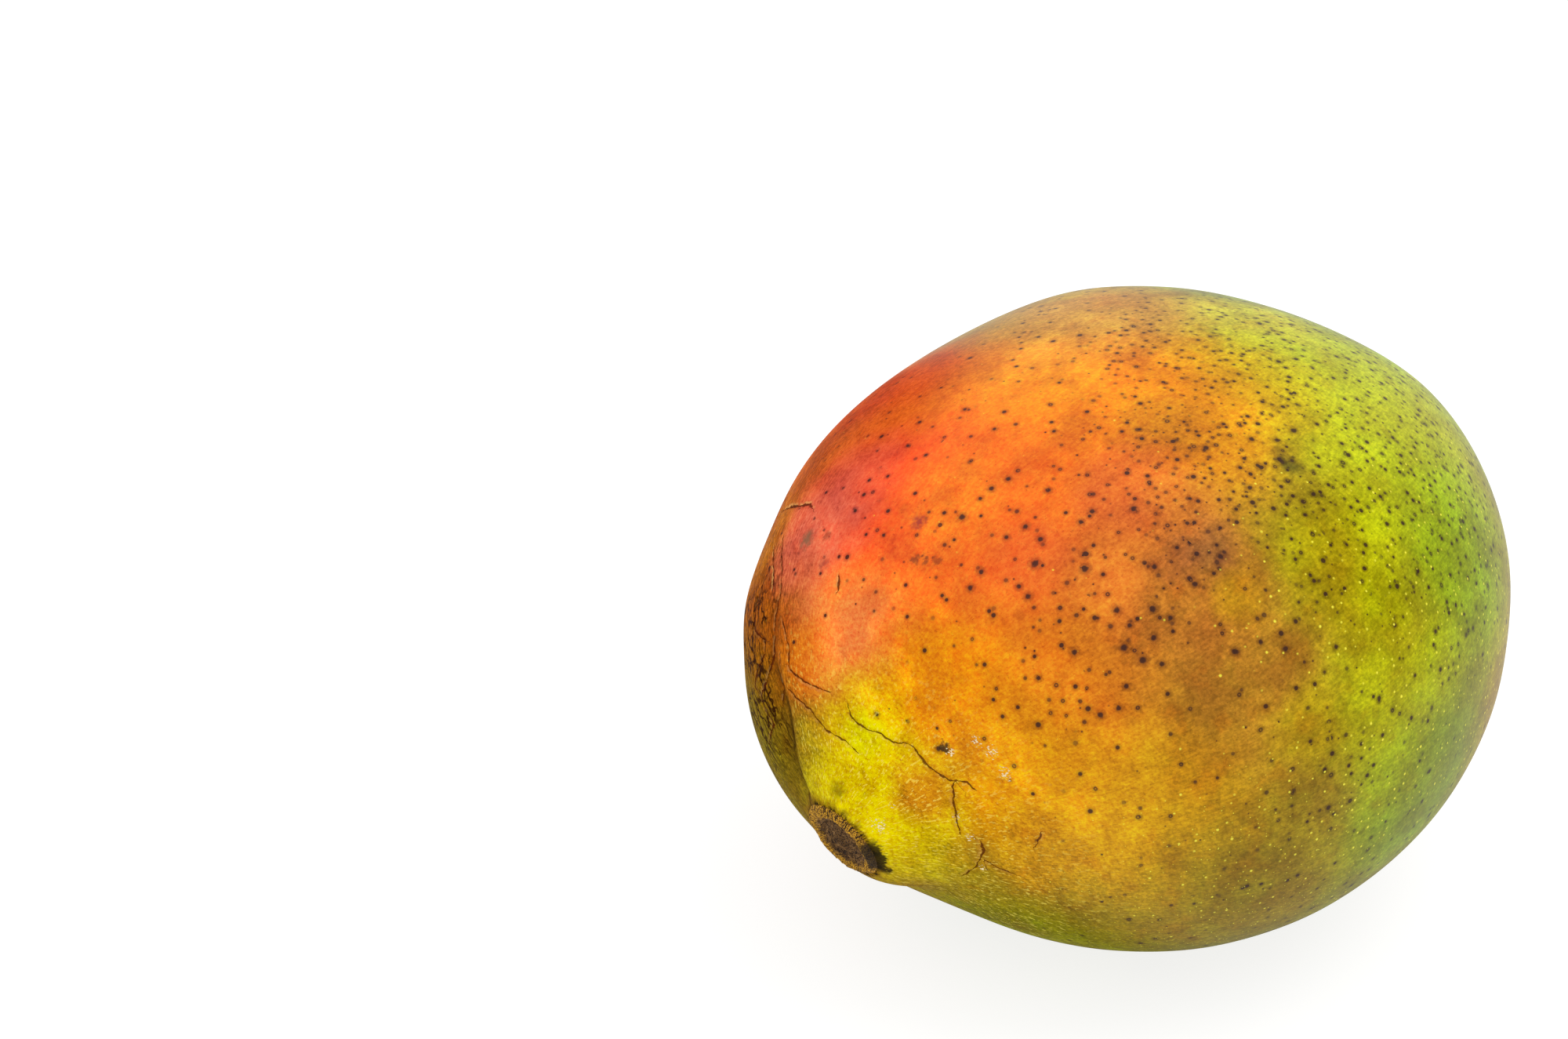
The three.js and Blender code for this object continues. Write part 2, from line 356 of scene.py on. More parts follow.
class Finish:
    def __init__(self, name):
        self.material = bpy.data.materials.new(name)
        self.material.use_nodes = True
        self.tree = self.material.node_tree
        self.tree.nodes.clear()

    def node(self, kind, settings, sockets, output=0):
        made = self.tree.nodes.new("ShaderNode" + kind)
        for name, setting in settings.items():
            setattr(made, name, setting)
        for name, value in sockets.items():
            if isinstance(value, Value):
                self.tree.links.new(value.socket, made.inputs[name])
            else:
                made.inputs[name].default_value = value
        return Value(self, made.outputs[output]) if made.outputs else made

    def sum(self, operation, first, second):
        return self.node("Math", {"operation": operation}, {0: first, 1: second})

    def mix(self, factor, first, second, blend="MIX"):
        settings = {"data_type": "RGBA", "blend_type": blend}
        return self.node("Mix", settings, {0: factor, 6: first, 7: second}, 2)

    def overlay(self, factor, colour, value):  # lighter where the value is over a half, and darker under it
        return self.mix(factor, colour, self.joined(value, value, value), "OVERLAY")

    def within(self, shares, value):  # the first share and up, by the second at most
        least, extra = shares
        return value * extra + least

    def vector(self, operation, first, second):
        return self.node("VectorMath", {"operation": operation}, {0: first, 1: second})

    def scaled(self, vector, scale):
        return self.node("VectorMath", {"operation": "SCALE"}, {0: vector, "Scale": scale})

    def distance(self, first, second):
        return self.node("VectorMath", {"operation": "DISTANCE"}, {0: first, 1: second}, "Value")

    def fade(self, value, start, end):  # 0 at start, 1 at end
        sockets = {"Value": value, "From Min": start, "From Max": end}
        if start > end:
            sockets = {"Value": value, "From Min": end, "From Max": start, "To Min": 1.0, "To Max": 0.0}
        return self.node("MapRange", {"interpolation_type": "SMOOTHSTEP"}, sockets)

    def noise(self, place, size, detail=2.0, output="Fac"):
        sockets = {"Vector": place, "Scale": 1 / size, "Detail": detail}
        return self.node("TexNoise", {}, sockets, output)

    def split(self, vector):
        made = self.node("SeparateXYZ", {}, {0: vector}).socket.node
        return [Value(self, socket) for socket in made.outputs]

    def joined(self, *parts):
        return self.node("CombineXYZ", {}, dict(enumerate(parts)))

    def attribute(self, name):
        return self.split(self.node("Attribute", {"attribute_name": name}, {}, "Vector"))

    def place(self):  # in millimetres
        return self.scaled(self.node("TexCoord", {}, {}, "Object"), 1 / mm)

    def surface(self, sockets, bump):
        normal = self.node("Bump", {}, {"Height": bump, "Distance": mm, "Strength": 1.0})
        shader = self.node("BsdfPrincipled", {}, {**sockets, "Normal": normal})
        self.node("OutputMaterial", {}, {"Surface": shader})
        return self.material


# Round dots are strewn one to a cell at most, and only where the skin passes near the middle of the cell.
strewing = {
    "randomness": 0.72, "lift": (0.38, 0.36), "draw": (0.02, -0.02), "sizes": (0.8, 0.4),
    "drift": (1.0, 0.7, -1.0),
}


class SkinFinish(Finish):  # with the skin's own measures at hand
    def __init__(self):
        super().__init__("mango skin")
        self.spot = self.place()
        self.away, self.cosine, self.sine = self.attribute("stalk")
        self.offset, self.creased, _ = self.attribute("crease")
        self.outward = self.node("Attribute", {"attribute_name": "outward"}, {}, "Vector")

    def region(self, middle, inner, outer):  # 1 about a place, 0 beyond it
        return self.fade(self.distance(self.spot, middle), outer, inner)

    def regions(self, least, entries):  # a share that is higher, or lower, about some places
        share = least
        for middle, inner, outer, amount in entries:
            share = self.region(middle, inner, outer) * amount + share
        return share

    def moved(self, shift):  # so that no two noises are alike
        return self.vector("ADD", self.spot, shift)

    def blots(self, shift, size, detail, edge):  # 1 where a noise has passed its edge
        return self.fade(self.noise(self.moved(shift), size, detail), *edge)

    def spokes(self, around, along):  # a place for noises that run away from the stalk
        return self.joined(self.cosine * around, self.sine * around, self.away * along)

    def wobble(self, size, detail, amount):  # a noise about nought
        return (self.noise(self.spot, size, detail) - 0.5) * amount

    def dots(self, pitch, share, radius, shift):  # round dots on the skin, by distance in radii
        moved = self.moved([shift * part for part in strewing["drift"]])
        sockets = {"Vector": moved, "Scale": 1 / pitch, "Randomness": strewing["randomness"]}
        cells = self.node("TexVoronoi", {}, sockets, "Distance")
        draw, size, depth = self.split(Value(self, cells.socket.node.outputs["Color"]))
        centre = Value(self, cells.socket.node.outputs["Position"])
        sockets = {0: self.vector("SUBTRACT", centre, moved), 1: self.outward}
        lift = self.node("VectorMath", {"operation": "DOT_PRODUCT"}, sockets, "Value")
        beside = self.sum("MAXIMUM", (cells * pitch) ** 2.0 - lift ** 2.0, 0.0) ** 0.5
        near = self.fade(abs(lift), *[limit * pitch for limit in strewing["lift"]])
        present = self.fade(draw - share, *strewing["draw"]) * near
        return beside / (radius * self.within(strewing["sizes"], size)), present, depth

    def nearest(self, marks, middle):  # to the nearest of some pores, in its radii
        away, turn, radii = np.array(marks).T
        centres = skinPoints(np.radians(away), np.radians(turn))[0] + middle
        nearest = farOff
        for centre, radius in zip(centres, radii):
            nearest = self.sum("MINIMUM", self.distance(self.spot, centre) / radius, nearest)
        return nearest


def paint(red, green, blue):  # screen colours from 0 to 255
    def linear(value):
        value /= 255
        return value / 12.92 if value < 0.04045 else ((value + 0.055) / 1.055) ** 2.4
    return (linear(red), linear(green), linear(blue), 1.0)


# Where each tint of the skin lies: name, middle in millimetres, full within, gone beyond, strength, colour.
tints = {
    "base": paint(150, 120, 24),
    "patches": (
        ("blossom end", (50, -5, 45), 26, 62, 1.0, paint(132, 148, 58)),
        ("far shoulder", (-28, 46, 36), 8, 46, 0.9, paint(158, 104, 26)),
        ("far cheek", (12, 50, 40), 10, 40, 0.7, paint(150, 130, 40)),
        ("red rim", (-20, 36, 66), 6, 30, 0.7, paint(206, 76, 34)),
        # painted shade: the underside is darkened
        ("shaded belly", (-5, -8, 0), 30, 56, 0.9, paint(92, 92, 8)),
        ("lime cheek", (13, -24, 77), 9, 34, 0.75, paint(186, 194, 8)),
        ("green cheek", (6, -46, 61), 5, 24, 0.7, paint(126, 160, 8)),
        ("lime rim", (23, -4, 80), 4, 14, 0.6, paint(212, 202, 40)),
        ("olive side", (-12, -51, 35), 8, 27, 0.9, paint(120, 136, 26)),
        ("yellow green", (-21, -47, 54), 4, 16, 0.75, paint(164, 162, 4)),
        ("lime side", (-8.7, -50.3, 52.8), 2, 9, 0.5, paint(174, 188, 0)),
        ("low lime", (-20, -49.5, 41), 2, 9, 0.5, paint(156, 166, 0)),
        ("olive middle", (-20, -37, 70), 4, 17, 0.75, paint(162, 146, 6)),
        ("gold top", (0, -11, 82), 6, 20, 0.75, paint(192, 158, 2)),
        ("gold saddle", (-14, -16, 80), 3, 14, 0.6, paint(212, 162, 4)),
        ("lime spot", (-7.5, -37, 72), 2, 9, 0.4, paint(194, 204, 0)),
        ("moss spot", (-13.3, -43.2, 65.3), 2, 8, 0.5, paint(158, 166, 0)),
        ("orange top", (-19, 4, 80), 12, 36, 0.8, paint(246, 126, 4)),
        ("bright top", (-11, 13, 81), 5, 17, 0.7, paint(244, 146, 12)),
        ("brown saddle", (-14, -10, 81.5), 3, 11, 0.75, paint(188, 116, 14)),
        ("pale rim", (12, 16, 81), 4, 24, 0.85, paint(208, 146, 54)),
        ("left orange", (-41, 12, 69), 12, 34, 0.95, paint(238, 106, 26)),
        ("blush", (-36, 23, 71), 5, 19, 0.9, paint(246, 78, 30)),
        # the salmon tints are partly the skin's own colour and partly a painted reddish reflection
        ("salmon", (-39, 30, 65), 4, 14, 0.9, paint(230, 104, 78)),
        ("low salmon", (-46, 29.5, 59), 2, 9, 0.6, paint(226, 114, 74)),
        ("dusky rim", (-30, 29.5, 71.5), 2, 9, 0.6, paint(204, 78, 62)),
        ("amber fleck", (-36, 12, 74), 2, 11, 0.6, paint(242, 134, 26)),
        ("upper rim", (-10, 33, 73), 4, 20, 0.7, paint(204, 58, 26)),
        ("red top", (-28, -11, 78), 3, 12, 0.6, paint(212, 90, 42)),
        ("ochre top", (-26.5, -19, 76), 2, 8, 0.5, paint(222, 150, 40)),
        ("red middle", (-41, -4, 71), 3, 10, 0.65, paint(226, 96, 36)),
        ("amber spot", (-40, -14, 70), 2, 8, 0.85, paint(242, 142, 38)),
        ("rust", (-36, -21, 71), 6, 18, 0.5, paint(206, 92, 40)),
        ("low rust", (-40, -31, 61), 8, 21, 0.6, paint(178, 110, 34)),
        ("olive gap", (-32.6, -41.6, 54), 2, 8, 0.6, paint(180, 154, 10)),
        ("bruise", (-30, -23, 73), 1, 7, 0.75, paint(132, 82, 42)),
        ("bruise tail", (-34, -20, 72), 1, 5, 0.5, paint(150, 78, 44)),
        ("gold island", (-32, -29, 69), 1, 6, 0.7, paint(190, 142, 10)),
        ("orange middle", (-53, -11, 55), 8, 22, 0.85, paint(226, 124, 22)),
        ("pink", (-51, 18.5, 58), 1, 13, 0.95, paint(255, 142, 68)),
        ("amber", (-54, 3, 56), 4, 14, 0.9, paint(242, 148, 0)),
        ("low gold", (-54, -11, 44), 4, 18, 0.8, paint(236, 164, 0)),
        ("right gold", (-48, -27, 42), 6, 20, 0.75, paint(210, 148, 4)),
        ("low amber", (-48.4, -27.7, 39.4), 2, 8, 0.6, paint(220, 162, 6)),
        ("low ochre", (-54.4, -12.8, 34.9), 2, 9, 0.75, paint(182, 126, 18)),
        ("low brown", (-40, -37, 32), 5, 19, 0.7, paint(126, 104, 16)),
        ("stalk yellow", (-56, 10, 37), 5, 17, 1.0, paint(230, 202, 0)),
        ("yellow island", (-55, 13, 48), 2, 11, 0.8, paint(232, 190, 0)),
        ("lime island", (-56, 13.5, 46), 1, 6, 0.6, paint(206, 204, 0)),
        ("ochre island", (-57, 3.4, 41.4), 2.2, 6.5, 0.9, paint(202, 124, 18)),
        ("gold edge", (-34, 45, 56), 4, 13, 0.75, paint(182, 104, 18)),
        # partly the skin's own russet, partly painted shade
        ("left flank and shade", (-46, 36, 49), 6, 17, 0.85, paint(164, 78, 10)),
        # partly the skin's own colour, partly a painted reddish reflection
        ("salmon edge", (-41, 34.5, 60), 2, 8, 0.55, paint(216, 98, 76)),
        ("warm fold", (-51.5, 25, 52.5), 2, 8, 0.55, paint(244, 130, 22)),
        # partly the skin's own olive, partly painted shade
        ("low flank and shade", (-47, 35, 31), 6, 22, 0.8, paint(118, 104, 10)),
        # painted shade: low on the side, darker towards the floor
        ("shaded low edge", (-42, -8, 12), 8, 22, 0.9, paint(118, 114, 6)),
        ("blotch", (-10.3, -26, 78), 0.3, 2.8, 0.7, paint(52, 60, 24)),
        ("blotch side", (-9.6, -23.6, 79), 0.3, 2.2, 0.4, paint(70, 66, 24)),
    ),
    "warps": ((16.0, 6.0), (4.0, 3.0), (1.0, 1.2)),  # noises that bend the patches: size, amount
}


def skinTint(skin):
    warped = skin.spot
    for size, amount in tints["warps"]:
        drift = skin.vector("SUBTRACT", skin.noise(skin.spot, size, 2.0, "Color"), (0.5, 0.5, 0.5))
        warped = skin.vector("ADD", warped, skin.scaled(drift, amount))
    colour = tints["base"]
    for _, middle, inner, outer, strength, tint in tints["patches"]:
        mask = skin.fade(skin.distance(warped, middle), outer, inner) * strength
        colour = skin.mix(mask, colour, tint)
    return colour


# The finish of the skin goes on in coats, one function each. Sizes are in millimetres. Blots are given as a
# shift, a size, detail, and the noise values between which they fade in.
ripeness = {
    "clouds": ((0, 0, 0), 7.0, 5.0, (0.3, 0.7)),
    "cloudPaints": (paint(234, 226, 236), paint(276, 288, 268)),
    "cloudy": ((0, 0, 200), 26.0, 2.0, (0.35, 0.6)),
    "cloudShares": (0.4, 0.6),
    "smudges": ((40, 0, 0), 3.0, 3.0, (0.56, 0.76)),
    "smudgeShare": 0.5,
    "smudgePaint": paint(216, 196, 200),
    "hueShift": (0, 130, 0), "hueSize": 4.5, "hueDetail": 3.0,
    "hues": (((0.54, 0.72), paint(250, 222, 205)), ((0.46, 0.28), paint(260, 276, 255))),
    "hueShare": 0.6,
    "evenHues": (((6, -40, 60), 16, 46, -0.45), ((-57, 10, 40), 6, 16, -0.4)),
    "tufts": ((0, 170, 0), 1.4, 3.0, (0.3, 0.7)),
    "tuftShare": 0.12,
}


def ripen(skin, colour):
    clouding = skin.mix(skin.blots(*ripeness["clouds"]), *ripeness["cloudPaints"])
    cloudy = skin.within(ripeness["cloudShares"], skin.blots(*ripeness["cloudy"]))
    colour = skin.mix(cloudy, colour, clouding, "MULTIPLY")
    smudges = skin.blots(*ripeness["smudges"]) * ripeness["smudgeShare"]
    colour = skin.mix(smudges, colour, ripeness["smudgePaint"], "MULTIPLY")
    hue = skin.noise(skin.moved(ripeness["hueShift"]), ripeness["hueSize"], ripeness["hueDetail"])
    share = skin.regions(ripeness["hueShare"], ripeness["evenHues"])
    for edge, tint in ripeness["hues"]:
        colour = skin.mix(skin.fade(hue, *edge) * share, colour, tint, "MULTIPLY")
    return skin.overlay(ripeness["tuftShare"], colour, skin.blots(*ripeness["tufts"]))


grain = {
    "size": 0.42, "detail": 4.0,
    "fine": ((90, 0, 0), 0.5, 2.0, (0.32, 0.68)),
    "fineShare": 0.14,
    "streakSpokes": (57, 0.3), "streakSize": 0.4, "streakDetail": 3.0, "streakEdge": (0.34, 0.66),
    "streakShares": (0.1, 0.3), "streakSide": (-14, 4), "streakReach": (75, 45),
    # painted light and shade of the grain, as if lit from one side
    "paintedLightShift": (0.08, -0.04, 0.16), "paintedLightSize": 0.6, "paintedLightDetail": 3.0,
    "paintedLightShares": (0.3, 0.5), "paintedLightReach": (65, 25),
    "specks": ((0, 60, 0), 0.3, 2.0, (0.6, 0.72)),
    "speckShare": 0.35,
    "speckPaint": paint(170, 130, 130),
}


def roughen(skin, colour):
    colour = skin.overlay(grain["fineShare"], colour, skin.blots(*grain["fine"]))
    streaks = skin.noise(skin.spokes(*grain["streakSpokes"]), grain["streakSize"], grain["streakDetail"])
    streaks = skin.fade(streaks, *grain["streakEdge"])
    near = skin.fade(skin.offset, *grain["streakSide"]) * skin.fade(skin.away, *grain["streakReach"])
    colour = skin.overlay(skin.within(grain["streakShares"], near), colour, streaks)
    # Painted light and shade: a noise less the same noise moved a little is laid over the colour, so the
    # grain looks lit from one side, most near the stalk.
    lit, level = (
        skin.noise(place, grain["paintedLightSize"], grain["paintedLightDetail"])
        for place in (skin.moved(grain["paintedLightShift"]), skin.spot)
    )
    near = skin.within(grain["paintedLightShares"], skin.fade(skin.away, *grain["paintedLightReach"]))
    colour = skin.overlay(1.0, colour, 0.5 + (lit - level) * near)
    specks = skin.blots(*grain["specks"]) * grain["speckShare"]
    return skin.mix(specks, colour, grain["speckPaint"], "MULTIPLY"), streaks


# Pores are strewn at random in layers: spacing, radius, share and a shift that makes each layer differ.
pores = {
    "layers": ((1.9, 0.29, 1.0, 0.0), (2.7, 0.34, 1.0, 31.0), (1.3, 0.13, 0.3, 67.0)),
    "crowds": (
        ((6, -24, 79), 20, 46, 0.66), ((-44, -15, 66), 4, 18, 0.35), ((-24, -18, 77), 6, 22, 0.35),
        ((-22, -42, 44), 6, 30, 0.14), ((-36, 14, 74), 4, 20, 0.12),
    ),
    "everywhere": 0.13,
    "bare": (20, 52),
    "unevenSize": 8.0, "unevenShares": (0.5, 1.0),
    "core": {"edge": (1.25, 0.55), "shares": (0.45, 0.65), "largest": (1.2, 0.35), "strength": 0.9},
    "halo": {"edge": (2.8, 0.8), "shares": (0.4, 0.6), "largest": (2.6, 0.7), "strength": 0.55, "full": 1.1},
    "eyes": {"edge": (0.6, 0.2), "depth": 0.6, "span": (0.12, 0.08), "strength": 0.7},
    "ragged": {"size": 0.4, "detail": 2.0, "amount": 0.9},
    "haloPaint": paint(150, 132, 190),
    "corePaint": paint(54, 32, 30),
}


def pit(skin, colour, middle):
    core, halo, eyes, ragged = (pores[name] for name in ("core", "halo", "eyes", "ragged"))
    crowd = skin.regions(pores["everywhere"], pores["crowds"]) * skin.fade(skin.away, *pores["bare"])
    crowd = crowd * skin.within(pores["unevenShares"], skin.noise(skin.spot, pores["unevenSize"]))
    dark, dim, pale = 0.0, 0.0, 0.0
    for pitch, radius, share, shift in pores["layers"]:
        distance, present, depth = skin.dots(pitch, crowd * share, radius, shift)
        dark = skin.fade(distance, *core["edge"]) * present * skin.within(core["shares"], depth) + dark
        dim = skin.fade(distance, *halo["edge"]) * present * skin.within(halo["shares"], depth) + dim
        eyed = skin.fade(abs(depth - eyes["depth"]), *eyes["span"])
        pale = skin.fade(distance, *eyes["edge"]) * present * eyed + pale
    nearest = skin.nearest(spots, middle)
    nearest = nearest * (1.0 + skin.wobble(ragged["size"], ragged["detail"], ragged["amount"]))
    dark = skin.fade(skin.fade(nearest, *core["largest"]) + dark, 0.0, 1.0)
    dim = skin.fade(skin.fade(nearest, *halo["largest"]) + dim, 0.0, halo["full"])
    dark = dark * (1.0 - eyes["strength"] * skin.fade(pale, 0.0, 1.0))
    colour = skin.mix(dim * halo["strength"], colour, pores["haloPaint"], "MULTIPLY")
    return skin.mix(dark * core["strength"], colour, pores["corePaint"])


# Stains of the skin: name, away, turn, full within, gone beyond, strength, colour.
stains = {
    "ragged": (0.7, 3.0, 2.4),
    "marks": (
        ("scuff", 52.5, 117.4, 0.3, 2.0, 0.75, paint(112, 92, 66)),
        ("near scuff", 53.6, 111.5, 0.1, 1.1, 0.6, paint(150, 60, 40)),
        ("under scuff", 49.3, 109.7, 0.1, 1.2, 0.6, paint(150, 66, 56)),
        ("smear", 60.3, 94.0, 0.2, 1.6, 0.75, paint(140, 40, 48)),
        ("dash", 55.0, 90.0, 0.2, 0.9, 0.6, paint(96, 50, 30)),
        ("second dash", 55.6, 88.2, 0.2, 0.9, 0.7, paint(80, 44, 30)),
        ("third dash", 56.2, 86.3, 0.3, 1.1, 0.6, paint(120, 50, 24)),
        ("by the stub", 10.2, 84.7, 0.2, 2.2, 0.6, paint(110, 84, 10)),
        ("crumbling", 31.9, 57.2, 0.4, 1.0, 0.9, paint(52, 38, 26)),
        ("bruise edge", 23.2, 14.0, 0.5, 4.0, 0.5, paint(150, 110, 30)),
    ),
}


def stain(skin, colour, middle):
    ragged = skin.wobble(*stains["ragged"])
    for _, away, turn, inner, outer, amount, tint in stains["marks"]:
        centre = skinPoints(*np.radians([[away], [turn]]))[0][0] + middle
        mask = skin.fade(skin.distance(skin.spot, centre) + ragged, outer, inner) * amount
        colour = skin.mix(mask, colour, tint)
    return colour


# Pale flecks on the green side, and pale strokes near the stalk that are partly pale wax and partly painted
# highlights of small raised scales.
flecks = {
    "layers": (  # spacing, radius, shift, share, and where there are more
        (1.5, 0.2, 113.0, 0.01, (
            ((2, -50, 44), 10, 44, 0.55), ((-34, -38, 34), 8, 28, 0.25), ((-24, -36, 68), 6, 22, 0.25),
        )),
        (0.9, 0.1, 171.0, 0.01, (((-34, -30, 24), 14, 32, 0.3),)),
    ),
    "raggedShares": (0.6, 0.8), "edge": (1.35, 0.3), "depthShares": (0.4, 0.6),
    "strength": 0.85, "paint": paint(240, 230, 70),
    "strokeSpokes": (22, 0.4), "strokeSize": 0.4, "strokeEdge": (0.59, 0.66),
    "strokeReach": (48, 18), "strokeSide": (0, -6),
    "strokeWaxAndHighlightStrength": 0.5, "strokeWaxAndHighlightPaint": paint(255, 232, 100),
}


def fleck(skin, colour, grainy):
    flecked = 0.0
    for pitch, radius, shift, least, places in flecks["layers"]:
        distance, present, depth = skin.dots(pitch, skin.regions(least, places), radius, shift)
        distance = distance * skin.within(flecks["raggedShares"], grainy)
        share = present * skin.within(flecks["depthShares"], depth)
        flecked = skin.fade(distance, *flecks["edge"]) * share + flecked
    colour = skin.mix(skin.fade(flecked, 0.0, 1.0) * flecks["strength"], colour, flecks["paint"])
    # The strokes are partly painted highlights, as of light caught on small raised scales.
    strokes = skin.noise(skin.spokes(*flecks["strokeSpokes"]), flecks["strokeSize"])
    strokes = skin.fade(strokes, *flecks["strokeEdge"])
    strokes = strokes * skin.fade(skin.away, *flecks["strokeReach"])
    strokes = strokes * skin.fade(skin.offset, *flecks["strokeSide"])
    return skin.mix(strokes * flecks["strokeWaxAndHighlightStrength"], colour, flecks["strokeWaxAndHighlightPaint"])


wax = {
    "places": (
        ((-55.2, -6.2, 49.5), 0.5, 1.8), ((-55.2, -3.9, 50.4), 0.3, 1.6), ((-55.3, -8.4, 46.8), 0.3, 2.0),
        ((-56.1, -0.4, 48.0), 0.6, 0.9), ((-56.6, -2.2, 38.2), 0.4, 1.6), ((-56.2, -3.8, 35.6), 0.3, 1.4),
        ((-55.0, -5.2, 30.4), 0.2, 1.2), ((-58.4, 9.0, 34.2), 0.3, 2.4), ((-57.5, 7.6, 37.2), 0.2, 1.0),
        ((-51.3, 25.8, 46.4), 0.2, 0.9),
    ),
    "everywhere": 0.03, "more": 0.26, "size": 0.42, "flattened": (1.0, 1.0, 2.0),
    "edge": (0.8, 0.88), "reach": (70, 50), "strength": 0.85, "paint": paint(254, 236, 190),
}


def crumble(skin, colour):
    waxy = skin.regions(wax["everywhere"], [(*place, wax["more"]) for place in wax["places"]])
    crumbs = skin.noise(skin.vector("MULTIPLY", skin.spot, wax["flattened"]), wax["size"])
    crumbs = skin.fade(crumbs + waxy, *wax["edge"]) * skin.fade(skin.away, *wax["reach"])
    return skin.mix(crumbs * wax["strength"], colour, wax["paint"]), crumbs


# The skin is browned and ticked where it meets the stub, and blackened at one end.
scorch = {
    "spokes": (6.4, 0.3), "size": 0.26, "ticked": 2.4, "torn": (1.5, 2.0, 3.0),
    "brown": (8.6, 6.4), "brownStrength": 0.75, "brownPaint": paint(136, 92, 14),
    "ticks": (7.8, 6.6), "tickEdge": (0.45, 0.6), "tickPaint": paint(40, 28, 12),
    "burnt": (8.4, 7.6), "burntEnd": (0.84, 0.94), "burntStrength": 0.9, "burntPaint": paint(30, 26, 14),
}


def brown(skin, colour):
    ticks = skin.noise(skin.spokes(*scorch["spokes"]), scorch["size"])
    torn = skin.away + (ticks - 0.5) * scorch["ticked"] + skin.wobble(*scorch["torn"])
    browned = skin.fade(torn, *scorch["brown"]) * scorch["brownStrength"]
    colour = skin.mix(browned, colour, scorch["brownPaint"])
    ticked = skin.fade(torn, *scorch["ticks"]) * skin.fade(ticks, *scorch["tickEdge"])
    colour = skin.mix(ticked, colour, scorch["tickPaint"])
    burnt = skin.fade(skin.cosine, *scorch["burntEnd"]) * skin.fade(torn, *scorch["burnt"])
    return skin.mix(burnt * scorch["burntStrength"], colour, scorch["burntPaint"])


# Painted shade in the crease: a soft shadow beside it and a dark line along its bottom, broken by gaps.
creaseShade = {
    "bends": ((6.0, 2.0, 3.0), (1.6, 3.0, 1.6)),
    "shadow": (3.0, 0.4), "shadowStrength": 0.36, "shadowPaint": paint(120, 104, 80),
    "line": (0.7, 0.1), "gapSize": 2.2, "gapEdge": (0.35, 0.55),
    "shadowLineStrength": 0.7, "shadowLinePaint": paint(52, 34, 6),
}


def shadeCrease(skin, colour):
    wide, narrow = (skin.wobble(*bend) for bend in creaseShade["bends"])
    bent = abs(skin.offset + (wide + narrow))
    shadow = skin.fade(bent, *creaseShade["shadow"]) * skin.creased * creaseShade["shadowStrength"]
    colour = skin.mix(shadow, colour, creaseShade["shadowPaint"], "MULTIPLY")
    gaps = skin.fade(skin.noise(skin.spot, creaseShade["gapSize"]), *creaseShade["gapEdge"])
    line = skin.fade(bent, *creaseShade["line"]) * skin.creased * gaps
    return skin.mix(line * creaseShade["shadowLineStrength"], colour, creaseShade["shadowLinePaint"])


# A net of fine cracks on the flank beyond the crease, drawn out away from the stalk.
net = {
    "ragged": (5.0, 3.0, 14), "side": (-2.0, 2.0), "far": (30, 14), "near": (12, 22), "reach": (52, 38),
    "along": 0.5, "around": 30, "drift": 1.8, "driftSize": 1.2, "driftDetail": 3.0, "pitch": 2.3,
    "widthShares": (0.5, 1.2), "widthSize": 2.6, "edge": (0.1, 0.02), "gapSize": 4.0, "gapEdge": (0.36, 0.5),
    "strength": 0.95, "paint": paint(44, 12, 2),
}


def spreadNet(skin, colour):
    ragged = skin.wobble(*net["ragged"])
    beyond = skin.offset + ragged
    flank = skin.fade(beyond, *net["side"]) * skin.fade(beyond, *net["far"])
    flank = flank * skin.fade(skin.away, *net["near"]) * skin.fade(skin.away + ragged, *net["reach"])
    drift = skin.noise(skin.spot, net["driftSize"], net["driftDetail"], "Color")
    place = skin.joined(skin.away * net["along"], skin.cosine * net["around"], skin.sine * net["around"])
    place = skin.vector("ADD", place, skin.scaled(drift, net["drift"]))
    sockets = {"Vector": place, "Scale": 1 / net["pitch"]}
    web = skin.node("TexVoronoi", {"feature": "DISTANCE_TO_EDGE"}, sockets, "Distance")
    web = web / skin.within(net["widthShares"], skin.noise(skin.spot, net["widthSize"]))
    gaps = skin.fade(skin.noise(skin.spot, net["gapSize"]), *net["gapEdge"])
    web = skin.fade(web, *net["edge"]) * flank * gaps
    return skin.mix(web * net["strength"], colour, net["paint"]), web


crackShade = {
    "wander": (0.9, 3.0, 0.9), "breaks": ((0, 0, 90), 1.6, 2.0, (0.3, 0.7)),
    "widths": (0.05, 0.3), "least": 0.01,
    "edge": (1.0, 0.2), "faint": (0.0, 0.3), "raisedFrom": (0.05, 0.25), "raisedTo": (0.75, 0.3),
    "brownedEdge": (1.1, 0.1), "raisedSize": 1.2, "raisedEdge": (0.38, 0.55),
    "brownedStrength": 0.3, "brownedPaint": paint(200, 150, 120),
    "raisedEdgeHighlightStrength": 0.6, "raisedEdgeHighlightPaint": paint(250, 190, 110),
    "strength": 0.85, "paint": paint(84, 28, 8),
}


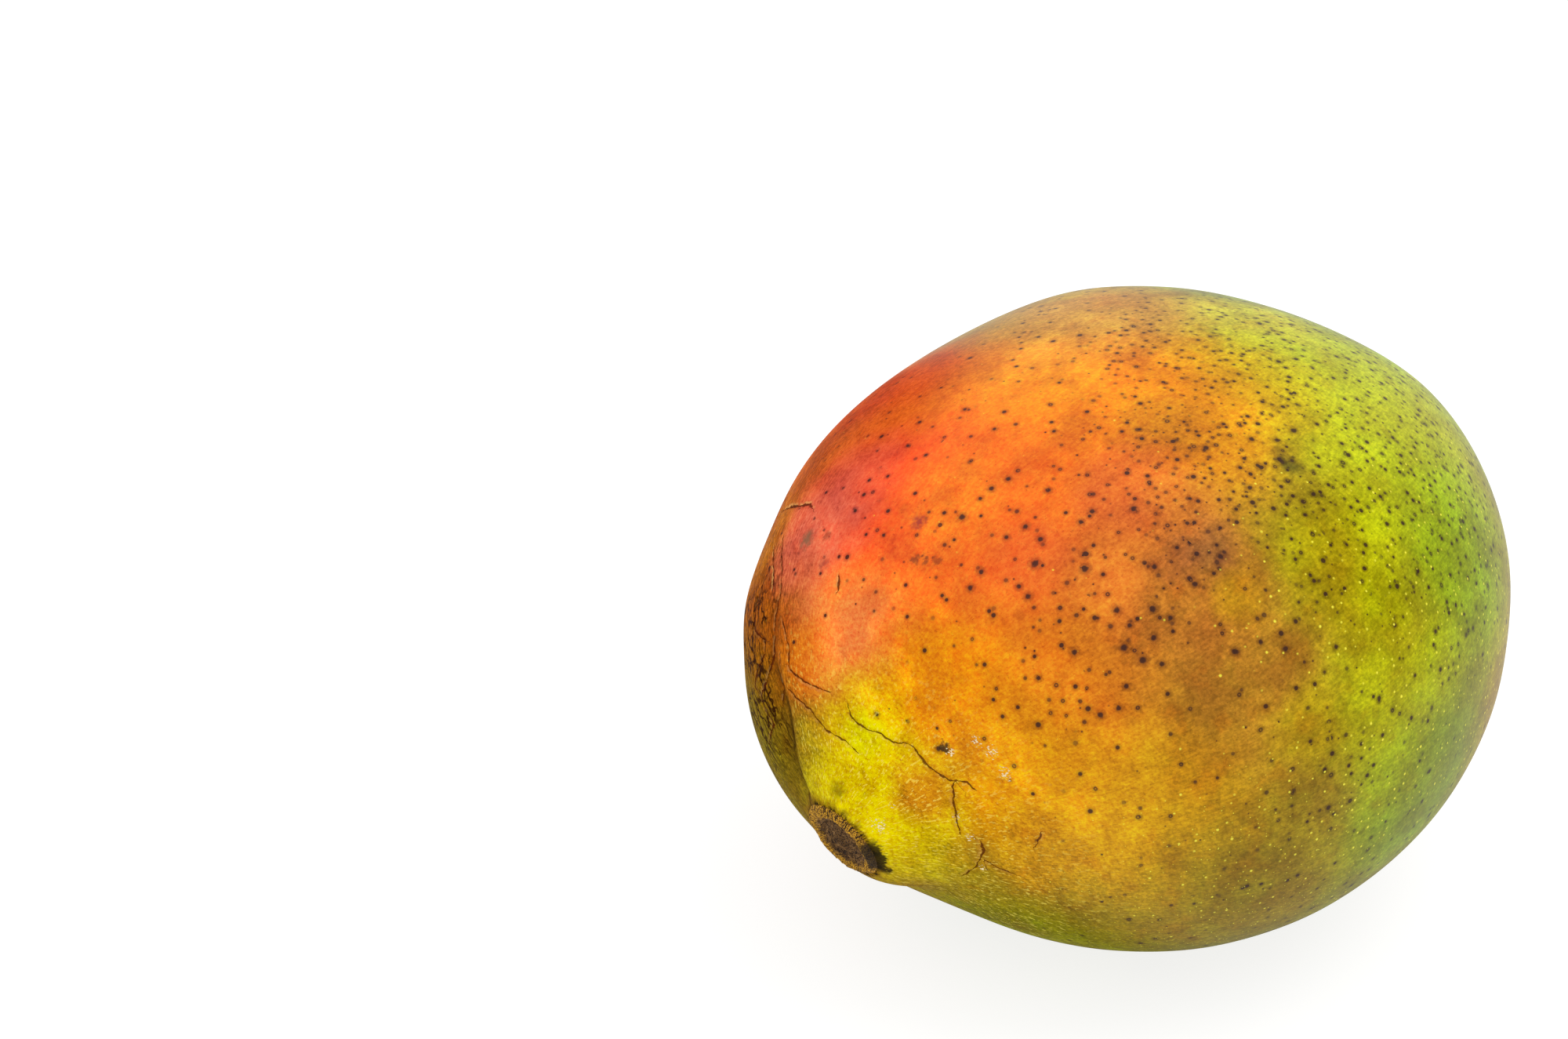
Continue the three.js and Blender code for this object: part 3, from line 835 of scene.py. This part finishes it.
def crackle(skin, colour):
    wander = skin.wobble(*crackShade["wander"])
    widths = skin.within(crackShade["widths"], skin.blots(*crackShade["breaks"]))
    crack, raised, browned = 0.0, 0.0, 0.0
    for name in ("crack", "nearCrack"):
        signed, full, lift = skin.attribute(name)
        side = signed + wander
        width = widths * full + crackShade["least"]
        gape = skin.fade(abs(side) / width, *crackShade["edge"])
        crack = gape * skin.fade(full, *crackShade["faint"]) + crack
        lifted = skin.fade(side, *crackShade["raisedFrom"]) * skin.fade(side, *crackShade["raisedTo"])
        raised = lifted * lift + raised
        browned = skin.fade(abs(side), *crackShade["brownedEdge"]) * full + browned
    crack = skin.fade(crack, 0.0, 1.0)
    raised = raised * skin.fade(skin.noise(skin.spot, crackShade["raisedSize"]), *crackShade["raisedEdge"])
    browned = browned * crackShade["brownedStrength"]
    colour = skin.mix(browned, colour, crackShade["brownedPaint"], "MULTIPLY")
    # Painted highlight, partly paler skin: a pale rim along the lifted side of each crack.
    colour = skin.mix(raised * crackShade["raisedEdgeHighlightStrength"], colour, crackShade["raisedEdgeHighlightPaint"])
    return skin.mix(crack * crackShade["strength"], colour, crackShade["paint"]), crack, raised


# The bloom is a thin coat of wax, rubbed off in some places and low down.
bloom = {
    "rubbed": (
        ((-50, 36, 40), 16, 38, 1.0), ((-40, 10, 8), 24, 50, 1.0), ((-28, 44, 56), 14, 40, 1.0),
        ((-30, -34, 62), 10, 40, 0.6), ((-54, 0, 52), 8, 28, 0.5), ((0, -11, 82), 6, 24, 0.35),
        ((-12, 32, 73), 6, 26, 0.4), ((-5, -40, 68), 8, 26, 0.5),
    ),
    "shares": (0.3, 0.7), "heights": (5, 40), "bend": 1.22, "roughness": 0.45,
}


relief = {
    "wrinkleSize": 1.1, "wrinkleDetail": 3.0, "wrinkleReach": (60, 15), "wrinkles": 0.2, "grain": 0.06,
    "streaks": 0.03, "cracks": 0.15, "crumbs": 0.06, "raised": 0.12,
    "roughness": (0.4, 0.16), "bend": 1.03,
}


def makeSkinFinish(middle):
    skin = SkinFinish()
    colour = ripen(skin, skinTint(skin))
    grainy = skin.noise(skin.spot, grain["size"], grain["detail"])
    colour, streaks = roughen(skin, colour)
    colour = stain(skin, pit(skin, colour, middle), middle)
    colour, crumbs = crumble(skin, fleck(skin, colour, grainy))
    colour = shadeCrease(skin, brown(skin, colour))
    colour, web = spreadNet(skin, colour)
    colour, crack, raised = crackle(skin, colour)
    wrinkles = skin.noise(skin.spot, relief["wrinkleSize"], relief["wrinkleDetail"])
    wrinkles = wrinkles * skin.fade(skin.away, *relief["wrinkleReach"])
    height = wrinkles * relief["wrinkles"] + grainy * relief["grain"] + streaks * relief["streaks"]
    height = height - (crack + web) * relief["cracks"] + crumbs * relief["crumbs"] + raised * relief["raised"]
    sheltered = skin.regions(0.0, bloom["rubbed"])
    high = skin.fade(skin.split(skin.spot)[2], *bloom["heights"])
    return skin.surface({
        "Base Color": colour, "Roughness": skin.within(relief["roughness"], grainy), "IOR": relief["bend"],
        "Coat Weight": skin.fade(sheltered, 1.0, 0.0) * skin.within(bloom["shares"], high),
        "Coat IOR": bloom["bend"], "Coat Roughness": bloom["roughness"],
    }, height)


stub = {
    "radius": 6.3, "sides": 230,
    "profile": (  # radius and height, from the foot up over the rim and into the scar
        (6.0, -1.1), (6.35, -0.5), (6.35, -0.05), (6.2, 0.25), (5.8, 0.6), (5.3, 0.85), (4.9, 0.85),
        (4.5, 0.6), (4.1, 0.3), (3.6, 0.1), (0.0, 0.2),
    ),
    "step": 0.11, "weld": 1e-4,
    "ringPitch": 0.62, "ringRelief": 0.07, "ringsWithin": (3.4, 4.2),
    "grain": 0.16, "grainSize": 0.45, "grainFractal": (0.9, 2.1, 4),
    "uneven": ((0.16, 3, 1), (0.1, 7, 0)),  # height, waves round the rim, start
    "reliefFrom": (-0.6, 0.1),
}


def makeStub(finish, middle):
    bm = bmesh.new()
    corners = np.array(stub["profile"])
    run = np.concatenate([[0], np.cumsum(np.linalg.norm(np.diff(corners, axis=0), axis=1))])
    marks = np.linspace(0, run[-1], int(run[-1] / stub["step"]))
    radii, heights = (np.interp(marks, run, corners[:, i]) for i in (0, 1))
    verts = [bm.verts.new((radius, 0, height)) for radius, height in zip(radii, heights)]
    for first, second in zip(verts, verts[1:]):
        bm.edges.new((first, second))
    bmesh.ops.spin(
        bm, geom=bm.verts[:] + bm.edges[:], cent=(0, 0, 0), axis=(0, 0, 1), dvec=(0, 0, 0),
        angle=math.tau, steps=stub["sides"], use_merge=True, use_duplicate=False,
    )
    bmesh.ops.remove_doubles(bm, verts=bm.verts, dist=stub["weld"])
    edges = [edge for edge in bm.edges if edge.is_boundary]
    bmesh.ops.holes_fill(bm, edges=edges, sides=0)
    bmesh.ops.recalc_face_normals(bm, faces=bm.faces)
    mesh = bpy.data.meshes.new("stub")
    bm.to_mesh(mesh)
    bm.free()
    places = coordinatesOf(mesh)
    radius = np.hypot(places[:, 0], places[:, 1])
    turn = np.arctan2(places[:, 1], places[:, 0])
    keep(mesh, "scar", radius, turn)
    size, fractal = stub["grainSize"], stub["grainFractal"]
    torn = np.array([noise.fractal(Vector(place) / size, *fractal) for place in places])
    rings = np.cos(math.tau * radius / stub["ringPitch"]) * (1 - smooth(radius, *stub["ringsWithin"]))
    uneven = sum(height * np.sin(waves * turn + start) for height, waves, start in stub["uneven"])
    uneven *= radius / stub["radius"] * np.maximum(places[:, 2], 0)
    rise = stub["grain"] * torn + stub["ringRelief"] * rings + uneven
    places[:, 2] += rise * smooth(places[:, 2], *stub["reliefFrom"])
    across, up = sidewaysOf(stemAxis), upwardsOf(stemAxis)
    points = seatCentre + middle + places[:, :1] * across + places[:, 1:2] * up + places[:, 2:] * stemAxis
    mesh.vertices.foreach_set("co", (points * mm).ravel())
    mesh.update()
    settle("stalk_stub", mesh, finish, "stem_stub")


cork = {
    "grain": (0.2, 4.0), "lumps": (1.1, 4.0), "ragged": 1.6,
    "goldEdge": (0.38, 0.62), "goldPaints": (paint(92, 56, 14), paint(226, 168, 44)),
    "tickSpokes": 6.4, "tickAlong": 0.15, "tickSize": 0.26, "tickEdge": (0.52, 0.64), "tickReach": (4.6, 5.6),
    "tickPaint": paint(40, 26, 12),
    "scarEdge": (0.36, 0.64), "scarPaints": (paint(54, 34, 18), paint(124, 88, 44)), "scarReach": (4.0, 4.9),
    "ringSpokes": 0.35, "ringRate": 2.4, "ringNoise": (0.5, 3.0),
    "rings": (((0.53, 0.66), 0.8, paint(24, 15, 12)), ((0.44, 0.34), 0.5, paint(160, 122, 72))),
    "burntEnd": (0.82, 0.94), "burntReach": (4.8, 5.4), "burntStrength": 0.9, "burntPaint": paint(26, 20, 16),
    "bump": {"grain": 0.2, "ticks": 0.08, "rings": 0.12, "ringEdge": (0.5, 0.66)},
    "roughness": 0.85, "bend": 1.3,
}


def makeCorkFinish():
    finish = Finish("cork")
    place = finish.place()
    radius, turn, _ = finish.attribute("scar")
    cosine, sine = finish.sum("COSINE", turn, 0), finish.sum("SINE", turn, 0)
    grainy = finish.noise(place, *cork["grain"])
    rough = radius + (finish.noise(place, *cork["lumps"]) - 0.5) * cork["ragged"]
    gold = finish.mix(finish.fade(grainy, *cork["goldEdge"]), *cork["goldPaints"])
    spokes = finish.joined(cosine * cork["tickSpokes"], sine * cork["tickSpokes"], radius * cork["tickAlong"])
    ticks = finish.noise(spokes, cork["tickSize"])
    ticked = finish.fade(ticks, *cork["tickEdge"]) * finish.fade(radius, *cork["tickReach"])
    gold = finish.mix(ticked, gold, cork["tickPaint"])
    scar = finish.mix(finish.fade(grainy, *cork["scarEdge"]), *cork["scarPaints"])
    reach = radius * cork["ringSpokes"]
    spokes = finish.joined(cosine * reach, sine * reach, rough * cork["ringRate"])
    rings = finish.noise(spokes, *cork["ringNoise"])
    for edge, strength, tint in cork["rings"]:
        scar = finish.mix(finish.fade(rings, *edge) * strength, scar, tint)
    colour = finish.mix(finish.fade(rough, *cork["scarReach"]), scar, gold)
    burnt = finish.fade(cosine, *cork["burntEnd"]) * finish.fade(rough, *cork["burntReach"])
    colour = finish.mix(burnt * cork["burntStrength"], colour, cork["burntPaint"])
    bump = cork["bump"]
    height = grainy * bump["grain"] + ticks * bump["ticks"]
    height = height - finish.fade(rings, *bump["ringEdge"]) * bump["rings"]
    return finish.surface({"Base Color": colour, "Roughness": cork["roughness"], "IOR": cork["bend"]}, height)


print("fruit and stub")
skin, middle = makeSkin()
settle("skin", skin, makeSkinFinish(middle), "fruit")
makeStub(makeCorkFinish(), middle)

print("floor, light and camera")

studio = {
    "floorSize": 6.0, "floorGlow": 0.8, "floorShade": 0.27, "cloudSize": 400.0, "cloudShade": 0.04,
    "floorRoughness": 0.9, "floorBend": 1.1, "sky": 0.95,
    "keyPower": 5.0, "keySize": 1.0, "keyPlace": (0.35, -0.45, 1.1),
}


def makeStudio():
    bm = bmesh.new()
    bmesh.ops.create_grid(bm, x_segments=1, y_segments=1, size=studio["floorSize"] / 2)
    mesh = bpy.data.meshes.new("floor")
    bm.to_mesh(mesh)
    bm.free()
    floor = bpy.data.objects.new("floor", mesh)
    bpy.context.collection.objects.link(floor)
    finish = Finish("floor")
    cloud = finish.noise(finish.place(), studio["cloudSize"]) * studio["cloudShade"] + studio["floorShade"]
    glow = finish.joined(*[studio["floorGlow"]] * 3)
    mesh.materials.append(finish.surface({
        "Base Color": finish.joined(cloud, cloud, cloud),
        "Roughness": studio["floorRoughness"], "IOR": studio["floorBend"],
        "Emission Color": glow, "Emission Strength": 1.0,
    }, 0.0))
    world = bpy.data.worlds.new("sky")
    world.use_nodes = True
    world.node_tree.nodes["Background"].inputs["Color"].default_value = (1, 1, 1, 1)
    world.node_tree.nodes["Background"].inputs["Strength"].default_value = studio["sky"]
    bpy.context.scene.world = world
    light = bpy.data.lights.new("key", "AREA")
    light.energy = studio["keyPower"]
    light.size = studio["keySize"]
    key = bpy.data.objects.new("key", light)
    key.location = studio["keyPlace"]
    key.rotation_mode = "QUATERNION"
    key.rotation_quaternion = Vector(studio["keyPlace"]).to_track_quat("Z", "Y")
    bpy.context.collection.objects.link(key)
    bpy.context.scene.view_settings.view_transform = "Standard"


# The camera stands where the fruit's middle falls right of the picture's own.
camera = {
    "azimuth": -57.95, "elevation": 29.4, "distance": 541.1, "lens": 85.0, "sensor": 36.0,
    "pictureWidth": 2000, "pictureHeight": 1325, "fruitX": 1445.4, "fruitY": 774.9,
}


def makeCamera(middle):
    azimuth, elevation = math.radians(camera["azimuth"]), math.radians(camera["elevation"])
    level = math.cos(elevation)
    back = Vector((math.sin(azimuth) * level, -math.cos(azimuth) * level, math.sin(elevation)))
    right = Vector((math.cos(azimuth), math.sin(azimuth), 0))
    up = back.cross(right)
    pixel = camera["distance"] * camera["sensor"] / camera["lens"] / camera["pictureWidth"]
    across = (camera["fruitX"] - camera["pictureWidth"] / 2) * pixel
    down = (camera["fruitY"] - camera["pictureHeight"] / 2) * pixel
    lens = bpy.data.cameras.new("camera")
    lens.lens = camera["lens"]
    lens.sensor_width = camera["sensor"]
    lens.clip_start = 0.01
    eye = bpy.data.objects.new("camera", lens)
    eye.location = (Vector(middle) + back * camera["distance"] - right * across + up * down) * mm
    eye.rotation_mode = "QUATERNION"
    eye.rotation_quaternion = Matrix((right, up, back)).transposed().to_quaternion()
    bpy.context.collection.objects.link(eye)
    bpy.context.scene.camera = eye


makeStudio()
makeCamera(middle)
